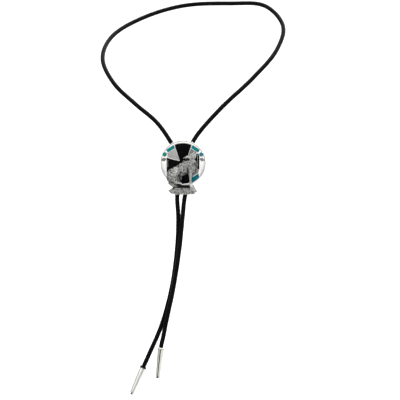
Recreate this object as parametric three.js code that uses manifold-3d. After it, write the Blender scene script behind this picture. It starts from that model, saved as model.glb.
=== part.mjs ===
// Bolo tie: a braided cord worn round the neck, with a round inlaid slide that carries
// a cast figure of a howling wolf, and a long metal tip on each end of the cord.
// Millimetres, +Z up. The slide faces -Y. The origin is under the cord at the back of the neck.

import * as THREE from 'three';
import { mergeVertices } from 'three/addons/utils/BufferGeometryUtils.js';
import Module from 'manifold-3d';

const wasm = await Module();
wasm.setup();

// Cord.
const CORD_DIAMETER = 4.0;
const CORD_SIDES = 10;
const CORD_STEPS = 80;

// Centre line of the cord, from the end in the left tip, up through the left tube of the clip,
// round the neck, down through the right tube and into the right tip.
const CORD_ROUTE = [
  [-41.0, -111, -365.3],
  [-33.4, -111, -348.4],
  [-20.5, -110, -318.4],
  [-11.0, -109, -283.2],
  [-5.9, -108.6, -246],
  [-4.6, -109, -216.3],
  [-5.6, -110, -196.5],
  [-4.5, -110, -186],
  [-4.5, -110, -180],
  [-4.5, -110, -163],
  [-4.5, -110, -157.5],
  [-13.0, -109, -141.8],
  [-25.7, -104, -124.4],
  [-46.3, -96, -106.5],
  [-67.6, -84, -85.7],
  [-80.1, -63, -59.7],
  [-72.1, -36, -33.8],
  [-40.4, -10, -11.1],
  [0, 0, 2],
  [47.1, -3, 3.8],
  [81.6, -16, -0.2],
  [99.6, -40, -24.2],
  [92.1, -60, -50.5],
  [67.8, -82, -80.2],
  [34.6, -100, -112.6],
  [10.4, -109, -141.8],
  [4.5, -110, -157.5],
  [4.5, -110, -163],
  [4.5, -110, -180],
  [4.5, -110, -186],
  [1.6, -111, -196.5],
  [-0.5, -113, -216.3],
  [-3.5, -112.9, -246],
  [-9.2, -113.3, -283],
  [-16.0, -114.1, -315.2],
  [-18.8, -115, -329.4],
  [-20.6, -115, -337.2],
  [-21.8, -115, -347.7],
];

// Centre of the round plate, on the plane of the cord's axis behind it.
const SLIDE_PLACE = [0, -110, -164];

// Round plate of the slide.
const DISC_DIAMETER = 43.4;
const PLATE_THICKNESS = 2.6;
const PLATE_EDGE_ROUND = 0.5;
const RIM_WIDTH = 1.0;
const RIM_GROOVE = 0.3;
const PLATE_SIDES = 72;
const POCKET_DEPTH = 1.4;

// Gap between pieces that touch on the real slide.
const SEAT_GAP = 0.3;

// Inlays and ornaments.
const INLAY_BEVEL = 0.2;
const ROUND_STONE_DIAMETER = 4.0;
const ROUND_STONE_CROWN = 0.8;
const STONE_SIDES = 24;
const STONE_ARC_STEPS = 3;
const LEAF_HEIGHT = 0.6;
const LEAF_ROOT = 0.2;

// Cast figure.
const FIGURE_HEIGHT = 42.0;
const FIGURE_DROP = 30.2;
const FIGURE_FLATNESS = 0.66;
const LIMB_SIDES = 16;
const LIMB_ARC_STEPS = 4;
const ROCK_THICKNESS = 2.6;
const ROCK_BEVEL = 0.7;
const WEB_THICKNESS = 0.8;

// Two-tube clip on the back.
const TUBE_SPACING = 9.0;
const BORE_CLEARANCE = 0.6;
const CLIP_WALL = 0.8;
const CLIP_LENGTH = 16.0;
const CLIP_DROP = 7.5;
const CLIP_ARC_STEPS = 14;

// Tips of the cord.
const TIP_LENGTH = 29.0;
const TIP_CLEARANCE = 0.3;
const TIP_WALL = 0.75;
const TIP_SOCKET_DEPTH = 8.6;
const TIP_CORD_INSET = 8.2;
const TIP_LIP_HEIGHT = 1.0;
const TIP_LIP_PROUD = 0.25;
const TIP_WAIST_DIAMETER = 4.2;
const TIP_END_DIAMETER = 5.2;
const TIP_END_HEIGHT = 1.6;
const TIP_HOLE_DIAMETER = 2.0;
const TIP_SIDES = 24;

// Sizes that follow from those above.
const DISC_RADIUS = DISC_DIAMETER / 2;
const BORE_RADIUS = CORD_DIAMETER / 2 + BORE_CLEARANCE;
const CLIP_THICKNESS = 2 * (BORE_RADIUS + CLIP_WALL);
const PLATE_BACK = CLIP_THICKNESS / 2 + SEAT_GAP;
const PLATE_FACE = PLATE_BACK + PLATE_THICKNESS;
const POCKET_FLOOR = PLATE_FACE - POCKET_DEPTH;
const INLAY_BACK = POCKET_FLOOR + SEAT_GAP;
const FIGURE_BACK = PLATE_FACE + SEAT_GAP;

// Outlines of the pockets in the plate, counterclockwise, as [across, up] shares of the
// plate's radius from its centre. The walls that are left between them are the metal lines.
const OUTLINES = {
  onyx_field: [
    [0.37, 0.788], [0.19, 0.85], [0, 0.87], [-0.19, 0.85], [-0.37, 0.788],
    [-0.142, 0.092], [-0.4, 0.14], [-0.715, 0.232], [-0.715, -0.4], [-0.63, -0.62],
    [-0.42, -0.8], [-0.2, -0.89], [0, -0.915], [0.2, -0.89], [0.37, -0.83],
    [0.345, -0.64], [0.43, -0.3], [0.715, -0.285], [0.715, 0.27], [0.67, 0.41],
    [0.595, 0.41], [0.55, 0.2], [0.4, 0.14], [0.142, 0.092],
  ],
  shell_left: [
    [-0.345, 0.635], [-0.65, 0.432], [-0.69, 0.257], [-0.4, 0.163], [-0.16, 0.118],
  ],
  shell_right: [
    [0.345, 0.635], [0.16, 0.118], [0.4, 0.163], [0.53, 0.207], [0.575, 0.482],
  ],
  shell_lower: [
    [0.445, -0.322], [0.365, -0.622], [0.66, -0.447], [0.7, -0.307],
  ],
  turquoise_bar_left: [
    [-0.355, 0.655], [-0.415, 0.782], [-0.735, 0.572], [-0.66, 0.452],
  ],
  turquoise_bar_right: [
    [0.355, 0.655], [0.66, 0.452], [0.735, 0.572], [0.415, 0.782],
  ],
  turquoise_lower: [
    [0.672, -0.462], [0.365, -0.645], [0.39, -0.87], [0.72, -0.64],
  ],
};

// Centres of the round stones and the leaf ornaments, as shares of the plate's radius.
const ROUND_STONE_AT = [0.806, 0.376];
const LEAF_AT = [0.838, 0.15];
const LEAF_SIZE = [0.235, 0.16];
const LEAF_TILT = 0.35;

// Limbs of the figure. Each runs from one round end to the other. Places are [across, up] from
// the middle of the rock's foot, and places, radii and lift off the flat back are shares of
// the figure's height.
const FIGURE_LIMBS = [
  { name: 'torso', from: [0.083, 0.625], to: [-0.162, 0.497], radii: [0.152, 0.14], lift: 0.01 },
  { name: 'thigh', from: [-0.205, 0.452], to: [-0.152, 0.381], radii: [0.16, 0.133], lift: 0.035 },
  { name: 'heel', from: [-0.3, 0.36], to: [-0.25, 0.255], radii: [0.071, 0.045], lift: 0.02 },
  { name: 'shin', from: [-0.21, 0.31], to: [-0.11, 0.26], radii: [0.071, 0.04], lift: 0.05 },
  { name: 'hind_paw', from: [-0.124, 0.252], to: [-0.045, 0.252], radii: [0.036, 0.029], lift: 0.05 },
  { name: 'tail_root', from: [-0.31, 0.265], to: [-0.214, 0.2], radii: [0.029, 0.04], lift: 0.03 },
  { name: 'tail_end', from: [-0.214, 0.2], to: [-0.08, 0.181], radii: [0.04, 0.022], lift: 0.035 },
  { name: 'shoulder', from: [0.157, 0.683], to: [0.167, 0.54], radii: [0.133, 0.09], lift: 0.035 },
  { name: 'foreleg', from: [0.165, 0.552], to: [0.169, 0.398], radii: [0.064, 0.036], lift: 0.04 },
  { name: 'shank', from: [0.169, 0.398], to: [0.176, 0.224], radii: [0.036, 0.025], lift: 0.04 },
  { name: 'front_paw', from: [0.169, 0.198], to: [0.205, 0.188], radii: [0.036, 0.026], lift: 0.045 },
  { name: 'ruff', from: [0.224, 0.738], to: [0.236, 0.6], radii: [0.08, 0.093], lift: 0.02 },
  { name: 'neck', from: [0.15, 0.695], to: [0.193, 0.819], radii: [0.128, 0.083], lift: 0.025 },
  { name: 'mane', from: [0.062, 0.724], to: [0.11, 0.776], radii: [0.08, 0.052], lift: 0.02 },
  { name: 'skull', from: [0.15, 0.824], to: [0.188, 0.864], radii: [0.06, 0.055], lift: 0.045 },
  { name: 'muzzle', from: [0.188, 0.869], to: [0.274, 0.966], radii: [0.05, 0.028], lift: 0.042 },
  { name: 'jaw', from: [0.224, 0.852], to: [0.295, 0.926], radii: [0.045, 0.02], lift: 0.032 },
  { name: 'ear', from: [0.119, 0.842], to: [0.014, 0.826], radii: [0.036, 0.013], lift: 0.06 },
  { name: 'ridge', from: [-0.25, 0.086], to: [0.214, 0.067], radii: [0.062, 0.064], lift: 0.03 },
  { name: 'ledge', from: [-0.155, 0.129], to: [0.131, 0.124], radii: [0.03, 0.028], lift: 0.055 },
  { name: 'slab', from: [0.205, 0.207], to: [0.29, 0.081], radii: [0.024, 0.031], lift: 0.035 },
];

// Outline of the rock under the wolf, and the corners of the thin wall behind its legs, in
// the same shares.
const ROCK_OUTLINE = [
  [-0.34, 0.1], [-0.274, 0.029], [-0.14, 0], [0.21, 0.005], [0.283, 0.048],
  [0.316, 0.081], [0.274, 0.167], [0.214, 0.248], [0.155, 0.152], [-0.05, 0.15], [-0.229, 0.157],
];
const WEB_CORNERS = [[-0.155, 0.12], [0.176, 0.225]];

const toPoints = (rows, scale = 1) => rows.map(([x, y]) => new THREE.Vector2(x * scale, y * scale));

// Moves each edge of a counterclockwise outline inward by a distance.
function inset(points, distance) {
  const count = points.length;
  const edges = points.map((start, i) => {
    const along = points[(i + 1) % count].clone().sub(start).normalize();
    const inward = new THREE.Vector2(-along.y, along.x);
    return { start: start.clone().addScaledVector(inward, distance), along };
  });
  return edges.map((edge, i) => {
    const before = edges[(i + count - 1) % count];
    const offset = edge.start.clone().sub(before.start);
    const reach = offset.cross(edge.along) / before.along.cross(edge.along);
    return before.start.clone().addScaledVector(before.along, reach);
  });
}

// A closed geometry with shared vertices, no empty triangles and its faces pointing out.
function closed(geometry) {
  const bare = new THREE.BufferGeometry();
  bare.setAttribute('position', geometry.getAttribute('position'));
  if (geometry.index) bare.setIndex(geometry.index);
  const merged = mergeVertices(bare);
  const place = merged.getAttribute('position');
  const index = merged.index.array;
  const corner = (k) => new THREE.Vector3().fromBufferAttribute(place, k);
  const kept = [];
  let volume = 0;
  for (let i = 0; i < index.length; i += 3) {
    const [a, b, c] = [index[i], index[i + 1], index[i + 2]];
    if (a === b || b === c || c === a) continue;
    kept.push(a, b, c);
    volume += corner(a).dot(corner(b).cross(corner(c)));
  }
  merged.setIndex(volume < 0 ? kept.reverse() : kept);
  return merged;
}

// A solid for joining and cutting.
function toSolid(geometry) {
  const shape = closed(geometry);
  const vertProperties = new Float32Array(shape.getAttribute('position').array);
  const triVerts = new Uint32Array(shape.index.array);
  return new wasm.Manifold(new wasm.Mesh({ numProp: 3, vertProperties, triVerts }));
}

function fromSolid(solid) {
  const mesh = solid.getMesh();
  const geometry = new THREE.BufferGeometry();
  geometry.setAttribute('position', new THREE.BufferAttribute(mesh.vertProperties, 3));
  geometry.setIndex(new THREE.BufferAttribute(mesh.triVerts, 1));
  return geometry;
}

// A prism of an outline, from one height over the cord's plane to another, with chamfered ends.
function prism(points, low, high, bevel = 0) {
  const geometry = new THREE.ExtrudeGeometry(new THREE.Shape(points), {
    depth: high - low - 2 * bevel,
    steps: 1,
    bevelEnabled: bevel > 0,
    bevelThickness: bevel,
    bevelSize: bevel,
    bevelOffset: -bevel,
    bevelSegments: 1,
  });
  return geometry.translate(0, 0, low + bevel);
}

const material = (color, roughness, metalness) =>
  new THREE.MeshStandardMaterial({ color, roughness, metalness });

const MATERIALS = {
  silver: material(0xe8e8e4, 0.15, 1),
  pewter: material(0x9a9a94, 0.45, 1),
  onyx: material(0x08080a, 0.12, 0),
  shell: material(0xb9b4b4, 0.2, 0),
  turquoise: material(0x1a8f96, 0.3, 0),
  cord: material(0x141414, 0.55, 0),
};

function mesh(name, geometry, look) {
  const piece = new THREE.Mesh(closed(geometry), MATERIALS[look]);
  piece.name = name;
  return piece;
}

// Turns a revolved profile so that its axis points out of the slide's face.
const revolveOnFace = (profile, sides) => new THREE.LatheGeometry(profile, sides).rotateX(Math.PI / 2);

const mirrored = ([x, y], side) => [side * x * DISC_RADIUS, y * DISC_RADIUS];

// Plain round plate with a rounded edge and a groove inside the rim.
function plateBlank() {
  const inner = DISC_RADIUS - RIM_WIDTH;
  const profile = [
    [0, PLATE_BACK],
    [DISC_RADIUS - PLATE_EDGE_ROUND, PLATE_BACK],
    [DISC_RADIUS, PLATE_BACK + PLATE_EDGE_ROUND],
    [DISC_RADIUS, PLATE_FACE - PLATE_EDGE_ROUND],
    [DISC_RADIUS - PLATE_EDGE_ROUND, PLATE_FACE],
    [inner, PLATE_FACE],
    [inner - RIM_GROOVE, PLATE_FACE - RIM_GROOVE],
    [inner - 2 * RIM_GROOVE, PLATE_FACE],
    [0, PLATE_FACE],
  ];
  return revolveOnFace(toPoints(profile), PLATE_SIDES);
}

// Small pointed leaf that stands on the plate beside a round stone.
function leaf(side) {
  const [length, width] = LEAF_SIZE.map((share) => share * DISC_RADIUS);
  const outline = new THREE.Shape();
  outline.moveTo(-length / 2, 0);
  outline.quadraticCurveTo(0, -width, length / 2, 0);
  outline.quadraticCurveTo(0, width, -length / 2, 0);
  const body = prism(outline.getPoints(LIMB_ARC_STEPS), PLATE_FACE - LEAF_ROOT, PLATE_FACE + LEAF_HEIGHT);
  const [x, y] = mirrored(LEAF_AT, side);
  return body.rotateZ(-side * LEAF_TILT).translate(x, y, 0);
}

// A round stone, or the round pocket for one, with a crown of its own height.
function stoneBlank(radius, low, high, crown) {
  const profile = [[0, low], [radius, low]];
  for (let i = 0; i <= STONE_ARC_STEPS; i += 1) {
    const angle = (Math.PI / 2) * (i / STONE_ARC_STEPS);
    profile.push([radius * Math.cos(angle), high + crown * Math.sin(angle)]);
  }
  return revolveOnFace(toPoints(profile), STONE_SIDES);
}

function slidePlate() {
  let plate = toSolid(plateBlank());
  const above = PLATE_FACE + PLATE_THICKNESS;
  for (const rows of Object.values(OUTLINES)) {
    plate = plate.subtract(toSolid(prism(toPoints(rows, DISC_RADIUS), POCKET_FLOOR, above)));
  }
  for (const side of [-1, 1]) {
    plate = plate.add(toSolid(leaf(side)));
    const [x, y] = mirrored(ROUND_STONE_AT, side);
    const pocket = stoneBlank(ROUND_STONE_DIAMETER / 2 + SEAT_GAP, POCKET_FLOOR, above, 0);
    plate = plate.subtract(toSolid(pocket.translate(x, y, 0)));
  }
  return mesh('slide_plate', fromSolid(plate), 'silver');
}

function inlay(name, rows, look) {
  const outline = inset(toPoints(rows, DISC_RADIUS), SEAT_GAP);
  return mesh(name, prism(outline, INLAY_BACK, PLATE_FACE, INLAY_BEVEL), look);
}

function roundStone(name, side) {
  const [x, y] = mirrored(ROUND_STONE_AT, side);
  const stone = stoneBlank(ROUND_STONE_DIAMETER / 2, INLAY_BACK, PLATE_FACE, ROUND_STONE_CROWN);
  return mesh(name, stone.translate(x, y, 0), 'turquoise');
}

// A limb with round ends: two balls and the cone that touches both, flattened towards the back.
function limb({ from, to, radii, lift }) {
  const start = new THREE.Vector2(...from).multiplyScalar(FIGURE_HEIGHT);
  const span = new THREE.Vector2(...to).multiplyScalar(FIGURE_HEIGHT).sub(start);
  const [near, far] = radii.map((share) => share * FIGURE_HEIGHT);
  const slope = Math.asin((near - far) / span.length());
  const profile = [];
  const arc = (radius, centre, low, high) => {
    for (let i = 0; i <= LIMB_ARC_STEPS; i += 1) {
      const angle = low + ((high - low) * i) / LIMB_ARC_STEPS;
      profile.push(new THREE.Vector2(radius * Math.cos(angle), centre + radius * Math.sin(angle)));
    }
  };
  arc(near, 0, -Math.PI / 2, slope);
  arc(far, span.length(), slope, Math.PI / 2);
  const geometry = new THREE.LatheGeometry(profile, LIMB_SIDES);
  geometry.rotateZ(span.angle() - Math.PI / 2);
  geometry.scale(1, 1, FIGURE_FLATNESS);
  return geometry.translate(start.x, start.y - FIGURE_DROP, FIGURE_BACK + lift * FIGURE_HEIGHT);
}

function rock() {
  const foot = toPoints(ROCK_OUTLINE, FIGURE_HEIGHT);
  const body = prism(foot, FIGURE_BACK, FIGURE_BACK + ROCK_THICKNESS, ROCK_BEVEL);
  return body.translate(0, -FIGURE_DROP, 0);
}

function web() {
  const [low, high] = toPoints(WEB_CORNERS, FIGURE_HEIGHT);
  const wall = new THREE.BoxGeometry(high.x - low.x, high.y - low.y, WEB_THICKNESS);
  const middle = low.clone().add(high).multiplyScalar(0.5);
  return wall.translate(middle.x, middle.y - FIGURE_DROP, FIGURE_BACK + WEB_THICKNESS / 2);
}

function wolfFigure() {
  let figure = toSolid(rock()).add(toSolid(web()));
  for (const row of FIGURE_LIMBS) figure = figure.add(toSolid(limb(row)));
  const behind = new THREE.BoxGeometry(2 * FIGURE_HEIGHT, 2 * FIGURE_HEIGHT, FIGURE_HEIGHT);
  behind.translate(0, 0, FIGURE_BACK - FIGURE_HEIGHT / 2);
  return mesh('wolf_figure', fromSolid(figure.subtract(toSolid(behind))), 'pewter');
}

// Two tubes side by side in one flat-backed clip.
function slideClip() {
  const half = CLIP_THICKNESS / 2;
  const reach = TUBE_SPACING / 2;
  const outline = new THREE.Shape();
  outline.moveTo(-reach, -half);
  outline.lineTo(reach, -half);
  outline.absarc(reach, 0, half, -Math.PI / 2, Math.PI / 2, false);
  outline.lineTo(-reach, half);
  outline.absarc(-reach, 0, half, Math.PI / 2, -Math.PI / 2, false);
  for (const side of [-1, 1]) {
    outline.holes.push(new THREE.Path().absarc(side * reach, 0, BORE_RADIUS, 0, 2 * Math.PI, true));
  }
  const body = new THREE.ExtrudeGeometry(outline, {
    depth: CLIP_LENGTH,
    steps: 1,
    curveSegments: CLIP_ARC_STEPS,
    bevelEnabled: false,
  });
  body.rotateX(-Math.PI / 2).translate(0, -CLIP_DROP - CLIP_LENGTH / 2, 0);
  return mesh('slide_clip', body, 'silver');
}

// In this group x runs across the slide, y up it and z out of its face.
function makeSlide() {
  const slide = new THREE.Group();
  slide.add(
    slidePlate(),
    inlay('onyx_field', OUTLINES.onyx_field, 'onyx'),
    inlay('shell_left', OUTLINES.shell_left, 'shell'),
    inlay('shell_right', OUTLINES.shell_right, 'shell'),
    inlay('shell_lower', OUTLINES.shell_lower, 'shell'),
    inlay('turquoise_bar_left', OUTLINES.turquoise_bar_left, 'turquoise'),
    inlay('turquoise_bar_right', OUTLINES.turquoise_bar_right, 'turquoise'),
    inlay('turquoise_lower', OUTLINES.turquoise_lower, 'turquoise'),
    roundStone('turquoise_round_left', -1),
    roundStone('turquoise_round_right', 1),
    wolfFigure(),
    slideClip(),
  );
  slide.position.set(...SLIDE_PLACE);
  slide.rotation.x = Math.PI / 2;
  return slide;
}

const route = CORD_ROUTE.map((row) => new THREE.Vector3(...row));

function makeCord() {
  const section = new THREE.Shape();
  for (let i = 0; i < CORD_SIDES; i += 1) {
    const angle = (2 * Math.PI * i) / CORD_SIDES;
    const [x, y] = [Math.cos(angle), Math.sin(angle)].map((share) => (share * CORD_DIAMETER) / 2);
    if (i === 0) section.moveTo(x, y);
    else section.lineTo(x, y);
  }
  const line = new THREE.CatmullRomCurve3(route, false, 'centripetal');
  const body = new THREE.ExtrudeGeometry(section, { steps: CORD_STEPS, extrudePath: line });
  return mesh('cord', body, 'cord');
}

// A long tapered tip with a socket for the cord and a small open end. It points along +Y here.
function tipShape() {
  const bore = CORD_DIAMETER / 2 + TIP_CLEARANCE;
  const mouth = bore + TIP_WALL;
  const lip = mouth + TIP_LIP_PROUD;
  const hole = TIP_HOLE_DIAMETER / 2;
  const profile = [
    [bore, 0],
    [lip, 0],
    [lip, TIP_LIP_HEIGHT],
    [mouth, TIP_LIP_HEIGHT + TIP_LIP_PROUD],
    [TIP_WAIST_DIAMETER / 2, TIP_LENGTH - TIP_END_HEIGHT],
    [TIP_END_DIAMETER / 2, TIP_LENGTH - TIP_END_HEIGHT / 2],
    [TIP_END_DIAMETER / 2, TIP_LENGTH],
    [hole, TIP_LENGTH],
    [hole, TIP_SOCKET_DEPTH + bore],
    [bore, TIP_SOCKET_DEPTH],
    [bore, 0],
  ];
  return new THREE.LatheGeometry(toPoints(profile), TIP_SIDES);
}

// Puts a tip on the end of the cord, in line with its last stretch.
function makeTip(name, end, before) {
  const tip = mesh(name, tipShape(), 'silver');
  const along = end.clone().sub(before).normalize();
  tip.position.copy(end).addScaledVector(along, -TIP_CORD_INSET);
  tip.quaternion.setFromUnitVectors(new THREE.Vector3(0, 1, 0), along);
  return tip;
}

const tie = new THREE.Group();
tie.add(
  makeSlide(),
  makeCord(),
  makeTip('tip_left', route[0], route[1]),
  makeTip('tip_right', route[route.length - 1], route[route.length - 2]),
);

export default tie;
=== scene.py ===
# Bolo tie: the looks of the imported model, in its own frame. Metres, +Z up, the slide faces -Y.

import math

import bpy
import numpy as np
from mathutils import Matrix, Vector


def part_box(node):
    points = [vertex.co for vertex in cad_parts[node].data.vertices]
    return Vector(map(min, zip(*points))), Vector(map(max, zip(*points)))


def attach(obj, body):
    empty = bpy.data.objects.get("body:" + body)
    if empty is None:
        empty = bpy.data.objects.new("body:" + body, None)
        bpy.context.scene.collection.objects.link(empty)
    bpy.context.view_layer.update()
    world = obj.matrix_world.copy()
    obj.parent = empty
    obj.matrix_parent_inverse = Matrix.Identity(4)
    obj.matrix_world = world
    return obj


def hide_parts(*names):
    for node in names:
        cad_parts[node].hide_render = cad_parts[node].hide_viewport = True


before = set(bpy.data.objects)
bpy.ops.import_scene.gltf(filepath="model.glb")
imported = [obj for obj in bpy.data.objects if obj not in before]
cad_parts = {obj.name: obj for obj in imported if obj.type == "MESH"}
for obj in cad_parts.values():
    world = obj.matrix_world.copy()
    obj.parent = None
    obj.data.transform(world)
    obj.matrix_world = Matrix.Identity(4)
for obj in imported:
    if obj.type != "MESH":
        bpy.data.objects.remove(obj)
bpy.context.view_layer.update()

MM = 0.001
BODY = "root"


def placed(name, data):
    """A new object, linked to the scene."""
    obj = bpy.data.objects.new(name, data)
    bpy.context.collection.objects.link(obj)
    return obj

# Camera: level, straight in front of the tie.
PHOTO_PIXELS = 400
SLIDE_PLANE_Y = -116 * MM
METRES_PER_PIXEL = 0.95 * MM
CAMERA_DISTANCE = 1300 * MM
CAMERA_X = 16.15 * MM
CAMERA_Z = -199.15 * MM
SENSOR_WIDTH = 36.0
CAMERA_REACH = 20.0


def make_camera():
    data = bpy.data.cameras.new("camera")
    data.sensor_fit = "HORIZONTAL"
    data.sensor_width = SENSOR_WIDTH
    data.lens = SENSOR_WIDTH * CAMERA_DISTANCE / (PHOTO_PIXELS * METRES_PER_PIXEL)
    data.clip_end = CAMERA_REACH
    camera = placed("camera", data)
    camera.location = (CAMERA_X, SLIDE_PLANE_Y - CAMERA_DISTANCE, CAMERA_Z)
    camera.rotation_euler = (math.pi / 2, 0, 0)
    bpy.context.scene.camera = camera


make_camera()


# Plain mesh tools.
WELD_DISTANCE = 0.002 * MM
BEVELLED_ANGLE = 35
SHARPEST_MITRE = 0.35
CUT_OF_EDGE = 0.4


def grid_faces(rings, sides, closed_rings=False):
    """Quads between rings of points that close on themselves."""
    faces = []
    last = rings if closed_rings else rings - 1
    for i in range(last):
        here = i * sides
        there = ((i + 1) % rings) * sides
        for j in range(sides):
            k = (j + 1) % sides
            faces.append((here + j, here + k, there + k, there + j))
    return faces


def tube_faces(rings, sides):
    """The same quads, with a flat face at each end."""
    faces = grid_faces(rings, sides)
    faces.append(tuple(range(sides))[::-1])
    faces.append(tuple((rings - 1) * sides + j for j in range(sides)))
    return faces


def by_ring(shades, sides):
    """One value for each point of rings that each have one shade."""
    return [shade for shade in shades for _ in range(sides)]


class Form:
    """Points, faces and darkness of what becomes one piece."""

    def __init__(self):
        self.points = []
        self.faces = []
        self.dark = []

    def add(self, points, faces, dark=0.0):
        start = len(self.points)
        self.points.extend(tuple(p) for p in points)
        self.faces.extend(tuple(start + i for i in face) for face in faces)
        shades = dark if hasattr(dark, "__len__") else [dark] * len(points)
        self.dark.extend(shades)

    def add_mesh(self, mesh, dark=0.0):
        points = [v.co[:] for v in mesh.vertices]
        faces = [tuple(p.vertices) for p in mesh.polygons]
        self.add(points, faces, dark)
        bpy.data.meshes.remove(mesh)


def piece(name, form, place, material, nodes=(), crease=40):
    """One object of the scene, riding on the only body."""
    mesh = bpy.data.meshes.new(name)
    mesh.from_pydata([place @ Vector(p) for p in form.points], [], form.faces)
    mesh.validate()
    layer = mesh.attributes.new("dark", "FLOAT", "POINT")
    layer.data.foreach_set("value", np.array(form.dark, dtype=np.float32))
    mesh.materials.append(material)
    mesh.shade_smooth()
    mesh.set_sharp_from_angle(angle=math.radians(crease))
    obj = placed(name, mesh)
    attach(obj, BODY)
    if nodes:
        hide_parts(*nodes)
    return obj


def lathe(profile, sides, groove=None):
    """Revolves [radius, height] pairs round the Z axis. A profile that starts and ends on the
    axis gives a closed solid, and any other profile closes on itself."""
    rows = [p for p in profile if p[0] > 0]
    on_axis = [p for p in profile if p[0] <= 0]
    points = []
    for radius, height in rows:
        for j in range(sides):
            turn = 2 * math.pi * j / sides
            reach = radius - (groove(turn, height) if groove else 0)
            points.append((reach * math.cos(turn), reach * math.sin(turn), height))
    faces = grid_faces(len(rows), sides, closed_rings=not on_axis)
    if on_axis:
        first = len(points)
        points.append((0, 0, on_axis[0][1]))
        points.append((0, 0, on_axis[-1][1]))
        top = (len(rows) - 1) * sides
        for j in range(sides):
            k = (j + 1) % sides
            faces.append((first, k, j))
            faces.append((first + 1, top + j, top + k))
    return points, faces


def baked(obj):
    """The mesh of an object with its modifiers applied. The object itself is removed."""
    bpy.context.view_layer.update()
    depsgraph = bpy.context.evaluated_depsgraph_get()
    mesh = bpy.data.meshes.new_from_object(obj.evaluated_get(depsgraph))
    bpy.data.objects.remove(obj)
    return mesh


def slab(outlines, low, high, rounding, segments=2):
    """A flat solid with the first outline as its edge and the others as holes."""
    curve = bpy.data.curves.new("outline", "CURVE")
    curve.dimensions = "2D"
    curve.fill_mode = "BOTH"
    curve.extrude = (high - low) / 2
    for outline in outlines:
        spline = curve.splines.new("POLY")
        spline.points.add(len(outline) - 1)
        for point, (x, y) in zip(spline.points, outline):
            point.co = (x, y, 0, 1)
        spline.use_cyclic_u = True
    mesh = baked(placed("outline", curve))
    bpy.data.curves.remove(curve)
    mesh.transform(Matrix.Translation((0, 0, (low + high) / 2)))
    solid = placed("slab", mesh)
    weld = solid.modifiers.new("weld", "WELD")
    weld.merge_threshold = WELD_DISTANCE
    bevel = solid.modifiers.new("bevel", "BEVEL")
    bevel.width = rounding
    bevel.segments = segments
    bevel.limit_method = "ANGLE"
    bevel.angle_limit = math.radians(BEVELLED_ANGLE)
    result = baked(solid)
    bpy.data.meshes.remove(mesh)
    return result


def circle(x, y, radius, sides):
    turns = [2 * math.pi * j / sides for j in range(sides)]
    return [(x + radius * math.cos(t), y + radius * math.sin(t)) for t in turns]

def shifted(points, x, y):
    return [(px + x, py + y, pz) for px, py, pz in points]


def bend(start, control, end, steps):
    """Points of a quadratic arc."""
    shares = [k / steps for k in range(steps + 1)]
    return [tuple((1 - t) ** 2 * start + 2 * t * (1 - t) * control + t * t * end) for t in shares]

def grown(outline, distance):
    """Moves each edge of a counterclockwise outline outward by a distance."""
    points = [Vector(p) for p in outline]
    count = len(points)
    result = []
    for i in range(count):
        before = (points[i] - points[i - 1]).normalized()
        after = (points[(i + 1) % count] - points[i]).normalized()
        out_before = Vector((before.y, -before.x))
        out_after = Vector((after.y, -after.x))
        middle = (out_before + out_after).normalized()
        reach = distance / max(SHARPEST_MITRE, middle.dot(out_after))
        result.append(tuple(points[i] + middle * reach))
    return result


def rounded(outline, radius, steps=3):
    """Replaces each corner of an outline with a short arc."""
    points = [Vector(p) for p in outline]
    result = []
    for i, corner in enumerate(points):
        back = points[i - 1] - corner
        ahead = points[(i + 1) % len(points)] - corner
        cut = min(radius, CUT_OF_EDGE * back.length, CUT_OF_EDGE * ahead.length)
        start = corner + back.normalized() * cut
        end = corner + ahead.normalized() * cut
        result += bend(start, corner, end, steps)
    return result


# Smooth noise from hashed lattice points, the same in each run.


def hashed(cells, seed):
    value = cells[..., 0] * 127.1 + cells[..., 1] * 311.7 + cells[..., 2] * 74.7 + seed * 19.19
    value = np.sin(value) * 43758.5453
    return value - np.floor(value)


def noise(points, seed=0):
    base = np.floor(points)
    part = points - base
    part = part * part * (3 - 2 * part)
    total = np.zeros(len(points))
    for dx in (0, 1):
        for dy in (0, 1):
            for dz in (0, 1):
                weight = np.abs(1 - dx - part[:, 0]) * np.abs(1 - dy - part[:, 1])
                weight = weight * np.abs(1 - dz - part[:, 2])
                total += weight * hashed(base + np.array([dx, dy, dz]), seed)
    return total


# Materials. Each is worked out from the place in the model, at its real scale.


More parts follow.
